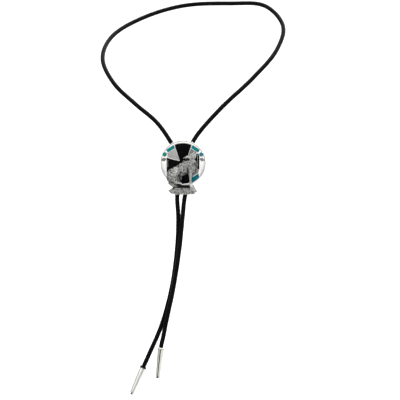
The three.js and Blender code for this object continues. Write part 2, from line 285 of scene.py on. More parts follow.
class Look:
    """A node material with short calls for what the looks below share."""

    def __init__(self, name):
        self.material = bpy.data.materials.new(name)
        self.material.use_nodes = True
        self.nodes = self.material.node_tree.nodes
        self.links = self.material.node_tree.links
        self.shader = self.nodes["Principled BSDF"]
        self.place = self.nodes.new("ShaderNodeTexCoord").outputs["Object"]

    def set(self, **values):
        for name, value in values.items():
            self.shader.inputs[name.replace("_", " ")].default_value = value

    def link(self, output, socket):
        self.links.new(output, self.shader.inputs[socket])

    def feed(self, socket, value):
        """Links another node's output to a socket, or else sets the socket's value."""
        if hasattr(value, "is_linked"):
            self.links.new(value, socket)
        else:
            socket.default_value = value

    def node(self, kind, **inputs):
        node = self.nodes.new(kind)
        for name, value in inputs.items():
            self.feed(node.inputs[name], value)
        return node

    def stretched(self, scale):
        return self.node("ShaderNodeMapping", Scale=scale, Vector=self.place).outputs["Vector"]

    def noise(self, scale, detail, vector=None):
        vector = vector or self.place
        node = self.node("ShaderNodeTexNoise", Scale=scale, Detail=detail, Vector=vector)
        return node.outputs["Fac"]

    def cracks(self, scale, vector):
        node = self.node("ShaderNodeTexVoronoi", Scale=scale, Vector=vector)
        node.feature = "DISTANCE_TO_EDGE"
        return node.outputs["Distance"]

    def warped(self, scale, amount):
        drift = self.node("ShaderNodeTexNoise", Scale=scale, Vector=self.place).outputs["Color"]
        node = self.node("ShaderNodeVectorMath")
        node.operation = "MULTIPLY_ADD"
        for socket, value in zip(node.inputs, (drift, (amount, amount, amount), self.place)):
            self.feed(socket, value)
        return node.outputs["Vector"]

    def ramp(self, factor, stops):
        node = self.node("ShaderNodeValToRGB", Fac=factor)
        elements = node.color_ramp.elements
        while len(elements) < len(stops):
            elements.new(0.5)
        for element, (position, colour) in zip(elements, stops):
            element.position = position
            shade = colour if hasattr(colour, "__len__") else (colour, colour, colour)
            element.color = (*shade, 1)
        return node.outputs["Color"]

    def mix(self, factor, first, second, mode="MIX"):
        node = self.node("ShaderNodeMix")
        node.data_type = "RGBA"
        node.blend_type = mode
        self.feed(node.inputs["Factor"], factor)
        for socket, value in (("A", first), ("B", second)):
            port = [p for p in node.inputs if p.name == socket and p.type == "RGBA"][0]
            self.feed(port, value if hasattr(value, "is_linked") else (*value, 1))
        return [p for p in node.outputs if p.type == "RGBA"][0]

    def attribute(self, name, output):
        node = self.node("ShaderNodeAttribute")
        node.attribute_name = name
        return node.outputs[output]

    def dark(self):
        return self.attribute("dark", "Fac")

    def bump(self, height, distance, strength):
        node = self.node("ShaderNodeBump", Distance=distance, Strength=strength, Height=height)
        self.link(node.outputs["Normal"], "Normal")


def silver_look(name, streaks, shades, gloss, edge=1.0):
    """Streaks is the noise scale along each axis, shades and gloss are from low to high, and
    edge is the tint at a grazing angle."""
    look = Look(name)
    look.set(Metallic=1.0, Specular_Tint=(edge, edge, edge, 1))
    scratches = look.noise(1, 3, look.stretched(streaks))
    tone = look.mix(0.5, look.noise(160, 5), scratches)
    colour = look.ramp(tone, [(0.35, shades[0]), (0.65, shades[1])])
    # The dark attribute takes the metal towards black: tarnish on the slide, and on the tips also painted
    # shade.
    look.link(look.mix(look.dark(), colour, (0.012, 0.013, 0.011)), "Base Color")
    look.link(look.ramp(scratches, [(0.3, gloss[0]), (0.75, gloss[1])]), "Roughness")
    look.bump(scratches, 0.02 * MM, 0.35)
    return look.material


def pewter_look():
    look = Look("antique_pewter")
    look.set(Metallic=0.9)
    hairs = look.noise(1, 3, look.attribute("hairs", "Vector"))
    patches = look.noise(520, 3)
    bright = look.ramp(patches, [(0.3, (0.38, 0.38, 0.36)), (0.7, (0.72, 0.72, 0.69))])
    combed = look.mix(look.ramp(hairs, [(0.36, 0.6), (0.5, 0.0)]), bright, (0.07, 0.07, 0.065))
    # The dark attribute carries the patina of the hollows and the painted light and shade of the figure.
    depth = look.ramp(look.dark(), [(0.0, 0.0), (0.33, 0.15), (0.62, 0.85), (1.0, 1.0)])
    look.link(look.mix(depth, combed, (0.008, 0.008, 0.008)), "Base Color")
    look.link(look.ramp(patches, [(0.3, 0.24), (0.8, 0.42)]), "Roughness")
    look.bump(hairs, 0.08 * MM, 0.6)
    return look.material


def onyx_look():
    look = Look("onyx")
    look.set(Roughness=0.1, Specular_IOR_Level=0.03)
    veil = look.noise(260, 6, look.warped(120, 0.004))
    look.link(look.ramp(veil, [(0.45, (0.001, 0.001, 0.0012)), (0.8, (0.004, 0.004, 0.005))]), "Base Color")
    look.bump(look.noise(900, 3), 0.01 * MM, 0.2)
    return look.material


def shell_look(name, share):
    """The share darkens the shell's tones: painted shade, for the shells beside the wolf's muzzle and
    chest.
    """
    look = Look(name)
    look.set(Roughness=0.3, Coat_Weight=0.25, Coat_Roughness=0.08)
    flow = look.warped(150, 0.006)
    bands = look.noise(420, 3, flow)
    stops = [
        (0.30, (0.21, 0.20, 0.215)),
        (0.42, (0.32, 0.30, 0.31)),
        (0.52, (0.38, 0.385, 0.375)),
        (0.64, (0.30, 0.315, 0.31)),
        (0.78, (0.46, 0.45, 0.45)),
    ]
    dimmed = [(at, tuple(share * part for part in colour)) for at, colour in stops]
    look.link(look.ramp(bands, dimmed), "Base Color")
    look.bump(bands, 0.04 * MM, 0.3)
    return look.material


def turquoise_look(name, deep, light, coat):
    look = Look(name)
    look.set(Roughness=0.3, Specular_IOR_Level=0.05, Coat_Weight=coat, Coat_Roughness=0.04)
    cloud = look.noise(380, 6)
    body = look.ramp(cloud, [(0.3, deep), (0.7, light)])
    veins = look.cracks(330, look.warped(500, 0.0022))
    lines = look.ramp(veins, [(0.0, 0.7), (0.025, 0.35), (0.06, 0.0)])
    look.link(look.mix(lines, body, (0.012, 0.018, 0.014)), "Base Color")
    look.bump(look.noise(1400, 3), 0.02 * MM, 0.2)
    return look.material


def leather_look():
    look = Look("braided_leather")
    look.set(Specular_IOR_Level=0.05)
    wear = look.noise(300, 5)
    colour = look.ramp(wear, [(0.35, (0.001, 0.001, 0.0012)), (0.8, (0.006, 0.0055, 0.0055))])
    # The dark attribute on the cord is painted shade between the strands.
    look.link(look.mix(look.dark(), colour, (0.001, 0.001, 0.001)), "Base Color")
    grain = look.noise(2200, 5)
    look.link(look.ramp(grain, [(0.3, 0.30), (0.75, 0.48)]), "Roughness")
    look.bump(grain, 0.05 * MM, 0.5)
    return look.material


LEATHER = leather_look()

# Cord: the route of part.mjs, in metres, from the end in the left tip to the end in the right.
CORD_DIAMETER = 4.0 * MM
CORD_ROUTE = [
    (-0.041, -0.111, -0.3653), (-0.0334, -0.111, -0.3484), (-0.0205, -0.11, -0.3184),
    (-0.011, -0.109, -0.2832), (-0.0059, -0.1086, -0.246), (-0.0046, -0.109, -0.2163),
    (-0.0056, -0.11, -0.1965), (-0.0045, -0.11, -0.186), (-0.0045, -0.11, -0.18),
    (-0.0045, -0.11, -0.163), (-0.0045, -0.11, -0.1575), (-0.013, -0.109, -0.1418),
    (-0.0257, -0.104, -0.1244), (-0.0463, -0.096, -0.1065), (-0.0676, -0.084, -0.0857),
    (-0.0801, -0.063, -0.0597), (-0.0721, -0.036, -0.0338), (-0.0404, -0.01, -0.0111),
    (0, 0, 0.002), (0.0471, -0.003, 0.0038), (0.0816, -0.016, -0.0002),
    (0.0996, -0.04, -0.0242), (0.0921, -0.06, -0.0505), (0.0678, -0.082, -0.0802),
    (0.0346, -0.1, -0.1126), (0.0104, -0.109, -0.1418), (0.0045, -0.11, -0.1575),
    (0.0045, -0.11, -0.163), (0.0045, -0.11, -0.18), (0.0045, -0.11, -0.186),
    (0.0016, -0.111, -0.1965), (-0.0005, -0.113, -0.2163), (-0.0035, -0.1129, -0.246),
    (-0.0092, -0.1133, -0.283), (-0.016, -0.1141, -0.3152), (-0.0188, -0.115, -0.3294),
    (-0.0206, -0.115, -0.3372), (-0.0218, -0.115, -0.3477),
]

# Braid: flat strands, half of them turning each way, each over one and under one.
STRANDS_EACH_WAY = 4
BRAID_PITCH = 14.4 * MM
STRAND_WIDTH = 2.4 * MM
STRAND_RADIUS = 1.75 * MM
STRAND_SWING = 0.2 * MM
STRAND_STEP = 0.62 * MM
CORE_RADIUS = 1.55 * MM
SOCKETED = 8.6 * MM
SOCKETED_SHARE = 0.86
CORE_STEP = 2.5 * MM
CORE_SIDES = 8

# Section of a strand, as [share of its width across, height over its middle].
STRAND_SECTION = [
    (-0.5, 0.0),
    (-0.24, 0.35 * MM),
    (0.24, 0.35 * MM),
    (0.5, 0.0),
    (0.22, -0.12 * MM),
    (-0.22, -0.12 * MM),
]
LINE_STEPS = 60

# Painted shade between the strands: how dark a strand is where it dives under another, and along its edges.
DIVE_SHADE = 0.25
EDGE_SHADE = 0.75
EDGE_SHARE = 0.4


def centripetal(route, steps):
    """The curve that part.mjs runs the cord along, as close points."""
    points = [np.array(p) for p in route]
    points.insert(0, 2 * points[0] - points[1])
    points.append(2 * points[-1] - points[-2])
    line = []
    for i in range(1, len(points) - 2):
        p0, p1, p2, p3 = points[i - 1 : i + 3]
        t1 = np.linalg.norm(p1 - p0) ** 0.5
        t2 = t1 + np.linalg.norm(p2 - p1) ** 0.5
        t3 = t2 + np.linalg.norm(p3 - p2) ** 0.5
        for k in range(steps):
            t = t1 + (t2 - t1) * k / steps
            a1 = p0 * (t1 - t) / t1 + p1 * t / t1
            a2 = p1 * (t2 - t) / (t2 - t1) + p2 * (t - t1) / (t2 - t1)
            a3 = p2 * (t3 - t) / (t3 - t2) + p3 * (t - t2) / (t3 - t2)
            b1 = a1 * (t2 - t) / t2 + a2 * t / t2
            b2 = a2 * (t3 - t) / (t3 - t1) + a3 * (t - t1) / (t3 - t1)
            line.append(b1 * (t2 - t) / (t2 - t1) + b2 * (t - t1) / (t2 - t1))
    line.append(points[-2])
    return np.array(line)


class Line:
    """A smooth line with its length, and a frame that doesn't twist along it."""

    def __init__(self, points):
        self.points = points
        steps = np.linalg.norm(np.diff(points, axis=0), axis=1)
        self.lengths = np.concatenate([[0], np.cumsum(steps)])
        self.length = self.lengths[-1]
        along = np.gradient(points, axis=0)
        self.along = along / np.linalg.norm(along, axis=1)[:, None]
        side = np.cross(self.along[0], (0.0, 1.0, 0.0))
        sides = []
        for direction in self.along:
            side = side - direction * np.dot(side, direction)
            side = side / np.linalg.norm(side)
            sides.append(side)
        self.side = np.array(sides)
        self.up = np.cross(self.along, self.side)

    def at(self, distance, rows):
        return np.stack([np.interp(distance, self.lengths, rows[:, k]) for k in range(3)], axis=-1)

    def around(self, distance, turn, radius):
        """Points at distances along the line, and at turns and radii round it."""
        centre = self.at(distance, self.points)
        side = self.at(distance, self.side)
        up = self.at(distance, self.up)
        reach = radius[..., None] if hasattr(radius, "shape") else radius
        return centre + reach * (np.cos(turn)[..., None] * side + np.sin(turn)[..., None] * up)


def strand(line, hand, number, form):
    """One strand of the braid, round the line on the hand it turns to."""
    steps = int(line.length / STRAND_STEP)
    distance = np.linspace(0, line.length, steps)
    lean = math.atan2(2 * math.pi * STRAND_RADIUS, BRAID_PITCH)
    turn = hand * 2 * math.pi * distance / BRAID_PITCH + 2 * math.pi * number / STRANDS_EACH_WAY
    wave = np.cos(2 * math.pi * STRANDS_EACH_WAY * distance / BRAID_PITCH)
    swing = hand * STRAND_SWING * wave
    from_end = np.minimum(distance, line.length - distance)
    drawn_in = np.clip(SOCKETED_SHARE + (from_end - SOCKETED) / SOCKETED, SOCKETED_SHARE, 1)
    rings = []
    for share, height in STRAND_SECTION:
        across = share * STRAND_WIDTH
        where = distance - hand * across * math.sin(lean)
        angle = turn + across * math.cos(lean) / STRAND_RADIUS
        radius = (STRAND_RADIUS + swing + height) * drawn_in
        rings.append(line.around(np.clip(where, 0, line.length), angle, radius))
    points = np.stack(rings, axis=1).reshape(-1, 3)
    sides = len(STRAND_SECTION)
    # Painted shade: darker where the strand dives under the next one, along its edges and on its underside.
    low = np.repeat((1 - hand * wave) / 2, sides).reshape(steps, sides)
    edge = np.array([abs(share) > EDGE_SHARE or height < 0 for share, height in STRAND_SECTION])
    dark = np.clip(DIVE_SHADE * low + EDGE_SHADE * edge[None, :], 0, 1)
    form.add(points, tube_faces(steps, sides), dark.reshape(-1).tolist())


def make_cord(line):
    form = Form()
    for number in range(STRANDS_EACH_WAY):
        strand(line, 1, number, form)
        strand(line, -1, number, form)
    steps = int(line.length / CORE_STEP)
    distance = np.repeat(np.linspace(0, line.length, steps), CORE_SIDES)
    turn = np.tile(np.linspace(0, 2 * math.pi, CORE_SIDES, endpoint=False), steps)
    core = line.around(distance, turn, CORE_RADIUS)
    # The core shows only in the gaps between the strands, and is painted fully dark there as shade.
    form.add(core, tube_faces(steps, CORE_SIDES), 1.0)
    return piece("braided_cord", form, Matrix(), LEATHER, ["cord"], crease=70)


cord_line = Line(centripetal(CORD_ROUTE, LINE_STEPS))
cord = make_cord(cord_line)


# Slide. In its own frame x runs across, y up and z out of the face, from the plate's back.
plate_low, plate_high = (Vector(corner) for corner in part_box("slide_plate"))
figure_high = Vector(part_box("wolf_figure")[1])
DISC_RADIUS = (plate_high.x - plate_low.x) / 2
DISC_CENTRE = (plate_low + plate_high) / 2
UPRIGHT = Matrix.Rotation(math.pi / 2, 4, "X")
SLIDE = Matrix.Translation((DISC_CENTRE.x, plate_high.y, DISC_CENTRE.z)) @ UPRIGHT
PLATE_FACE = 2.6 * MM
POCKET_DEPTH = 1.4 * MM
POCKET_FLOOR = PLATE_FACE - POCKET_DEPTH
FIGURE_BACK = plate_high.y - figure_high.y

RIM_WIDTH = 1.0 * MM
RIM_HEIGHT = 0.18 * MM
RIM_GROOVE = 0.22 * MM
EDGE_ROUND = 0.5 * MM
EDGE_STEPS = 5
PLATE_SIDES = 160
BACK_TARNISH = 0.35
RIM_TARNISH = 0.3
GROOVE_TARNISH = 0.3
FLOOR_TARNISH = 0.8
BEZEL_TARNISH = 0.5
RIDGE_TARNISH = 0.3
WALL_ROUND = 0.06 * MM
POCKET_GROWTH = 0.04 * MM
INLAY_GAP = 0.02 * MM
INLAY_SINK = 0.03 * MM
INLAY_ROUND = 0.1 * MM
CORNER_ROUND = 0.35 * MM

# Outlines of the inlays, as in part.mjs: counterclockwise shares of the plate's radius.
OUTLINES = {
    "onyx_field": [
        (0.37, 0.788), (0.19, 0.85), (0, 0.87), (-0.19, 0.85), (-0.37, 0.788),
        (-0.142, 0.092), (-0.4, 0.14), (-0.715, 0.232), (-0.715, -0.4), (-0.63, -0.62),
        (-0.42, -0.8), (-0.2, -0.89), (0, -0.915), (0.2, -0.89), (0.37, -0.83),
        (0.345, -0.64), (0.43, -0.3), (0.715, -0.285), (0.715, 0.27), (0.67, 0.41),
        (0.595, 0.41), (0.55, 0.2), (0.4, 0.14), (0.142, 0.092),
    ],
    "shell_left": [
        (-0.345, 0.635), (-0.65, 0.432), (-0.69, 0.257), (-0.4, 0.163), (-0.16, 0.118),
    ],
    "shell_right": [
        (0.345, 0.635), (0.16, 0.118), (0.4, 0.163), (0.53, 0.207), (0.575, 0.482),
    ],
    "shell_lower": [(0.445, -0.322), (0.365, -0.622), (0.66, -0.447), (0.7, -0.307)],
    "turquoise_bar_left": [
        (-0.355, 0.655), (-0.415, 0.782), (-0.735, 0.572), (-0.66, 0.452),
    ],
    "turquoise_bar_right": [(0.355, 0.655), (0.66, 0.452), (0.735, 0.572), (0.415, 0.782)],
    "turquoise_lower": [(0.672, -0.462), (0.365, -0.645), (0.39, -0.87), (0.72, -0.64)],
}

# Thin wires that stand in the onyx: left and right, from low to high, in the same shares.
WIRES = [
    [(-0.665, -0.175), (-0.668, 0.0), (-0.66, 0.135)],
    [(0.632, -0.135), (0.64, 0.1), (0.628, 0.385)],
]
WIRE_WIDTH = 0.28 * MM
WIRE_PROUD = 0.02 * MM
WIRE_STEPS = 12

ROUND_STONE_AT = (0.806, 0.376)
ROUND_STONE_RADIUS = 2.0 * MM
ROUND_STONE_SEAT = 0.12 * MM
ROUND_STONE_CROWN = 0.8 * MM
CROWN_STEPS = 10
STONE_HOLE = ROUND_STONE_RADIUS + 0.02 * MM
BEZEL_WALL = 0.25 * MM
BEZEL_HEIGHT = 0.3 * MM
STONE_SIDES = 48

LEAF_AT = (0.838, 0.15)
LEAF_LENGTH = 0.235
LEAF_WIDTH = 0.08
LEAF_TILT = 0.35
LEAF_HEIGHT = 0.6 * MM
LEAF_SINK = 0.05 * MM
LEAF_ROWS = 36
LEAF_COLUMNS = 16
RIB_WIDTH = 0.16
VEINS = 18
VEIN_LEAN = 0.35

# Ridges that run along the side crescents, as shares of the radius and degrees from the side.
RIDGES = [(0.79, -20, -4), (0.85, -29, -2), (0.905, -36, 0)]
RIDGE_WIDTH = 0.22 * MM
RIDGE_HEIGHT = 0.14 * MM
RIDGE_FOOT = 0.1 * MM
RIDGE_STEPS = 24


def scaled(rows):
    return [(x * DISC_RADIUS, y * DISC_RADIUS) for x, y in rows]


def on_side(side, at):
    """A place in shares of the radius, on the left (-1) or right (1) of the plate."""
    return side * at[0] * DISC_RADIUS, at[1] * DISC_RADIUS


def strip(points, width, low, high, form, dark=0.0):
    """A narrow bar with a rounded top along a line of points on the slide."""
    rows = [Vector(p) for p in points]
    shoulder = high - 0.3 * width
    section = [(-0.5, low), (0.5, low), (0.5, shoulder), (0.25, high), (-0.25, high), (-0.5, shoulder)]
    verts = []
    for i, here in enumerate(rows):
        ahead = rows[min(i + 1, len(rows) - 1)] - rows[max(i - 1, 0)]
        across = Vector((ahead.y, -ahead.x)).normalized()
        for share, level in section:
            spot = here + across * share * width
            verts.append((spot.x, spot.y, level))
    form.add(verts, tube_faces(len(rows), len(section)), dark)


def leaf(side, form):
    """A pointed leaf with a sunk midrib and side veins, standing on the plate."""
    length = LEAF_LENGTH * DISC_RADIUS
    width = LEAF_WIDTH * DISC_RADIUS
    x0, y0 = on_side(side, LEAF_AT)
    lean, rise = math.cos(-side * LEAF_TILT), math.sin(-side * LEAF_TILT)
    verts = []
    dark = []
    for i in range(LEAF_ROWS + 1):
        t = 2 * i / LEAF_ROWS - 1
        half = width * (1 - t * t) ** 0.9
        for j in range(LEAF_COLUMNS + 1):
            s = 2 * j / LEAF_COLUMNS - 1
            dome = (1 - abs(s) ** 2.4) * (1 - t ** 6) ** 0.5
            rib = math.exp(-((s / RIB_WIDTH) ** 2))
            vein = max(0.0, math.cos(VEINS * (t * side - VEIN_LEAN * abs(s)))) ** 3
            vein = vein * (1 - abs(s)) * abs(s) * 2
            level = PLATE_FACE - LEAF_SINK + LEAF_HEIGHT * (dome * (0.85 - 0.35 * rib - 0.3 * vein))
            x, y = t * length / 2, s * half
            verts.append((x0 + x * lean - y * rise, y0 + x * rise + y * lean, level))
            dark.append(min(1.0, 0.6 + 0.4 * rib + 0.4 * vein + 0.4 * abs(s) ** 4))
    columns = LEAF_COLUMNS + 1
    faces = []
    for i in range(LEAF_ROWS):
        for a in range(i * columns, i * columns + LEAF_COLUMNS):
            faces.append((a, a + columns, a + columns + 1, a + 1))
    start = len(verts)
    for i in range(LEAF_ROWS + 1):
        for j in (0, LEAF_COLUMNS):
            x, y, _ = verts[i * columns + j]
            verts.append((x, y, POCKET_FLOOR + POCKET_DEPTH / 2))
            dark.append(1.0)
    for i in range(LEAF_ROWS):
        low_a, low_b = start + 2 * i, start + 2 * i + 2
        faces.append((i * columns, low_a, low_b, (i + 1) * columns))
        top = i * columns + LEAF_COLUMNS
        faces.append((top, top + columns, low_b + 1, low_a + 1))
        faces.append((low_a, low_a + 1, low_b + 1, low_b))
    form.add(verts, faces, dark)


def plate_blank(form):
    """The round plate: its back, its rounded edge, the raised rim and the pockets' floor."""
    inner = DISC_RADIUS - RIM_WIDTH
    centre = DISC_RADIUS - EDGE_ROUND
    top = PLATE_FACE - EDGE_ROUND + RIM_HEIGHT
    turns = [(math.pi / 2) * k / EDGE_STEPS for k in range(EDGE_STEPS + 1)]
    profile = [(0, 0)]
    profile += [(centre + EDGE_ROUND * math.sin(t), EDGE_ROUND * (1 - math.cos(t))) for t in turns]
    profile += [(centre + EDGE_ROUND * math.cos(t), top + EDGE_ROUND * math.sin(t)) for t in turns]
    profile += [
        (inner + 0.12 * MM, PLATE_FACE + RIM_HEIGHT - 0.03 * MM),
        (inner, PLATE_FACE - 0.05 * MM),
        (inner - RIM_GROOVE, PLATE_FACE - RIM_GROOVE),
        (inner - RIM_GROOVE - 0.1 * MM, POCKET_FLOOR),
        (0, POCKET_FLOOR),
    ]
    shades = [BACK_TARNISH] * len(turns) + [RIM_TARNISH] * (len(turns) + 1)
    shades += [GROOVE_TARNISH, GROOVE_TARNISH, FLOOR_TARNISH]
    form.add(*lathe(profile, PLATE_SIDES), by_ring(shades, PLATE_SIDES) + [BACK_TARNISH, 0.0])


def bezel(side, form):
    """The thin wall round a round stone."""
    outer = STONE_HOLE + BEZEL_WALL
    top = PLATE_FACE + BEZEL_HEIGHT
    profile = [
        (STONE_HOLE, POCKET_FLOOR),
        (outer + 0.1 * MM, PLATE_FACE - 0.1 * MM),
        (outer, PLATE_FACE + 0.1 * MM),
        (outer - 0.04 * MM, top - 0.06 * MM),
        (outer - 0.12 * MM, top),
        (STONE_HOLE - 0.05 * MM, top - 0.02 * MM),
    ]
    points, faces = lathe(profile, STONE_SIDES)
    shades = [0.0, BEZEL_TARNISH, 0.0, 0.0, 0.0, BEZEL_TARNISH]
    form.add(shifted(points, *on_side(side, ROUND_STONE_AT)), faces, by_ring(shades, STONE_SIDES))


def ridges(side, form):
    """The fine ridges along a side crescent."""
    for share, low, high in RIDGES:
        radius = share * DISC_RADIUS
        turns = [math.radians(low + (high - low) * k / RIDGE_STEPS) for k in range(RIDGE_STEPS + 1)]
        arc = [(side * radius * math.cos(t), radius * math.sin(t)) for t in turns]
        strip(arc, RIDGE_WIDTH, PLATE_FACE - RIDGE_FOOT, PLATE_FACE + RIDGE_HEIGHT, form, RIDGE_TARNISH)


def make_plate(material):
    form = Form()
    plate_blank(form)
    land_edge = circle(0, 0, DISC_RADIUS - RIM_WIDTH - RIM_GROOVE * 0.9, PLATE_SIDES)
    holes = [rounded(grown(scaled(rows), POCKET_GROWTH), CORNER_ROUND) for rows in OUTLINES.values()]
    holes += [circle(*on_side(side, ROUND_STONE_AT), STONE_HOLE, STONE_SIDES) for side in (-1, 1)]
    outlines = [land_edge] + [hole[::-1] for hole in holes]
    form.add_mesh(slab(outlines, POCKET_FLOOR, PLATE_FACE, WALL_ROUND))
    for side in (-1, 1):
        bezel(side, form)
        leaf(side, form)
        ridges(side, form)
    for wire in WIRES:
        start, middle, end = (Vector(p) for p in scaled(wire))
        line = bend(start, 2 * middle - (start + end) / 2, end, WIRE_STEPS)
        strip(line, WIRE_WIDTH, POCKET_FLOOR, PLATE_FACE + WIRE_PROUD, form)
    piece("inlaid_plate", form, SLIDE, material, ["slide_plate"])


def make_inlay(node, rows, material):
    form = Form()
    outline = rounded(grown(scaled(rows), POCKET_GROWTH - INLAY_GAP), CORNER_ROUND)
    form.add_mesh(slab([outline], POCKET_FLOOR + INLAY_GAP, PLATE_FACE - INLAY_SINK, INLAY_ROUND, 3))
    piece(node + "_inlay", form, SLIDE, material, [node])


def make_round_stone(node, side, material):
    form = Form()
    base = POCKET_FLOOR + INLAY_GAP
    profile = [(0, base), (ROUND_STONE_RADIUS, base)]
    for k in range(CROWN_STEPS + 1):
        t = (math.pi / 2) * k / CROWN_STEPS
        height = PLATE_FACE + ROUND_STONE_SEAT + ROUND_STONE_CROWN * math.sin(t)
        profile.append((ROUND_STONE_RADIUS * math.cos(t), height))
    profile[-1] = (0, profile[-1][1])
    points, faces = lathe(profile, STONE_SIDES)
    form.add(shifted(points, *on_side(side, ROUND_STONE_AT)), faces)
    piece(node + "_cabochon", form, SLIDE, material, [node])


SILVER = silver_look(
    "polished_silver", (900, 900, 14000), ((0.84, 0.83, 0.81), (0.96, 0.955, 0.94)), (0.10, 0.26)
)
BRUSHED = silver_look(
    "brushed_silver", (900, 900, 16000), ((0.42, 0.42, 0.41), (0.66, 0.655, 0.64)), (0.26, 0.42)
)
TURQUOISE = turquoise_look("turquoise", (0.002, 0.15, 0.16), (0.006, 0.27, 0.28), 0.0)
DEEP_TURQUOISE = turquoise_look("turquoise_deep", (0.001, 0.09, 0.12), (0.004, 0.18, 0.22), 0.0)
GREEN_CABOCHON = turquoise_look("cabochon_green", (0.002, 0.15, 0.12), (0.006, 0.27, 0.23), 0.3)
BLUE_CABOCHON = turquoise_look("cabochon_blue", (0.002, 0.12, 0.16), (0.006, 0.23, 0.30), 1.0)
SHELL = shell_look("shell", 1.0)
# A darker copy of the shell, as painted shade for the shells beside the wolf.
SHADED_SHELL = shell_look("shell_shaded", 0.55)
ONYX = onyx_look()

make_plate(SILVER)
make_inlay("onyx_field", OUTLINES["onyx_field"], ONYX)
for name, shell in (("shell_left", SHELL), ("shell_right", SHADED_SHELL), ("shell_lower", SHADED_SHELL)):
    make_inlay(name, OUTLINES[name], shell)
for name in ("turquoise_bar_left", "turquoise_bar_right"):
    make_inlay(name, OUTLINES[name], TURQUOISE)
make_inlay("turquoise_lower", OUTLINES["turquoise_lower"], DEEP_TURQUOISE)
make_round_stone("turquoise_round_left", -1, GREEN_CABOCHON)
make_round_stone("turquoise_round_right", 1, BLUE_CABOCHON)


# Cast figure. Places are [across, up] from the middle of the rock's foot, and places, radii and
# lift off the flat back are shares of the figure's height.
FIGURE_HEIGHT = 42.0 * MM
FIGURE_DROP = 30.2 * MM
FIGURE_FLATNESS = 0.66
FIGURE_LIMBS = [
    ("torso", (0.083, 0.625), (-0.162, 0.497), (0.152, 0.14), 0.01),
    ("thigh", (-0.205, 0.452), (-0.152, 0.381), (0.16, 0.133), 0.035),
    ("heel", (-0.3, 0.36), (-0.25, 0.255), (0.071, 0.045), 0.02),
    ("shin", (-0.21, 0.31), (-0.11, 0.26), (0.071, 0.04), 0.05),
    ("hind_paw", (-0.124, 0.252), (-0.045, 0.252), (0.036, 0.029), 0.05),
    ("tail_root", (-0.31, 0.265), (-0.214, 0.2), (0.029, 0.04), 0.03),
    ("tail_end", (-0.214, 0.2), (-0.08, 0.181), (0.04, 0.022), 0.035),
    ("shoulder", (0.157, 0.683), (0.167, 0.54), (0.133, 0.09), 0.035),
    ("foreleg", (0.165, 0.552), (0.169, 0.398), (0.064, 0.036), 0.04),
    ("shank", (0.169, 0.398), (0.176, 0.224), (0.036, 0.025), 0.04),
    ("front_paw", (0.169, 0.198), (0.205, 0.188), (0.036, 0.026), 0.045),
    ("ruff", (0.224, 0.738), (0.236, 0.6), (0.08, 0.093), 0.02),
    ("neck", (0.15, 0.695), (0.193, 0.819), (0.128, 0.083), 0.025),
    ("mane", (0.062, 0.724), (0.11, 0.776), (0.08, 0.052), 0.02),
    ("skull", (0.15, 0.824), (0.188, 0.864), (0.06, 0.055), 0.045),
    ("muzzle", (0.188, 0.869), (0.274, 0.966), (0.05, 0.028), 0.042),
    ("jaw", (0.224, 0.852), (0.295, 0.926), (0.045, 0.02), 0.032),
    ("ear", (0.119, 0.842), (0.014, 0.826), (0.036, 0.013), 0.06),
    ("ridge", (-0.25, 0.086), (0.214, 0.067), (0.062, 0.064), 0.03),
    ("ledge", (-0.155, 0.129), (0.131, 0.124), (0.03, 0.028), 0.055),
    ("slab", (0.205, 0.207), (0.29, 0.081), (0.024, 0.031), 0.035),
]

# Small forms on top of them: brow, nose, toes, and locks at the chest, neck, back and tail.
FIGURE_DETAILS = [
    ("brow", (0.165, 0.885), (0.2, 0.902), (0.016, 0.012), 0.082),
    ("nose", (0.268, 0.972), (0.28, 0.98), (0.016, 0.014), 0.058),
    ("cheek", (0.2, 0.84), (0.165, 0.79), (0.034, 0.02), 0.066),
    ("ear_far", (0.135, 0.872), (0.058, 0.868), (0.022, 0.008), 0.03),
    ("toe", (-0.07, 0.246), (-0.036, 0.243), (0.014, 0.013), 0.068),
    ("toe", (-0.078, 0.258), (-0.036, 0.258), (0.014, 0.013), 0.058),
    ("toe", (0.185, 0.182), (0.216, 0.176), (0.014, 0.013), 0.066),
    ("toe", (0.175, 0.196), (0.222, 0.193), (0.014, 0.013), 0.056),
    ("lock", (0.27, 0.7), (0.318, 0.65), (0.03, 0.008), 0.02),
    ("lock", (0.272, 0.64), (0.322, 0.585), (0.032, 0.008), 0.02),
    ("lock", (0.25, 0.585), (0.29, 0.52), (0.034, 0.008), 0.02),
    ("lock", (0.215, 0.545), (0.242, 0.475), (0.032, 0.008), 0.025),
    ("lock", (0.09, 0.79), (0.03, 0.765), (0.03, 0.008), 0.02),
    ("lock", (0.05, 0.745), (-0.01, 0.715), (0.032, 0.008), 0.02),
    ("lock", (0.01, 0.71), (-0.05, 0.68), (0.034, 0.008), 0.02),
    ("lock", (-0.09, 0.625), (-0.15, 0.6), (0.034, 0.008), 0.02),
    ("lock", (-0.22, 0.57), (-0.28, 0.545), (0.036, 0.008), 0.02),
    ("lock", (-0.33, 0.45), (-0.362, 0.4), (0.03, 0.008), 0.02),
    ("lock", (0.11, 0.55), (0.085, 0.48), (0.034, 0.008), 0.03),
    ("lock", (-0.02, 0.5), (-0.045, 0.452), (0.03, 0.008), 0.03),
]
BARE = {"nose", "muzzle", "jaw", "hind_paw", "front_paw", "shank", "brow", "toe"}
SHORT_HAIRED = {"skull", "cheek", "ear", "ear_far", "foreleg", "shin", "heel"}
STONE = {"ridge", "ledge", "slab"}

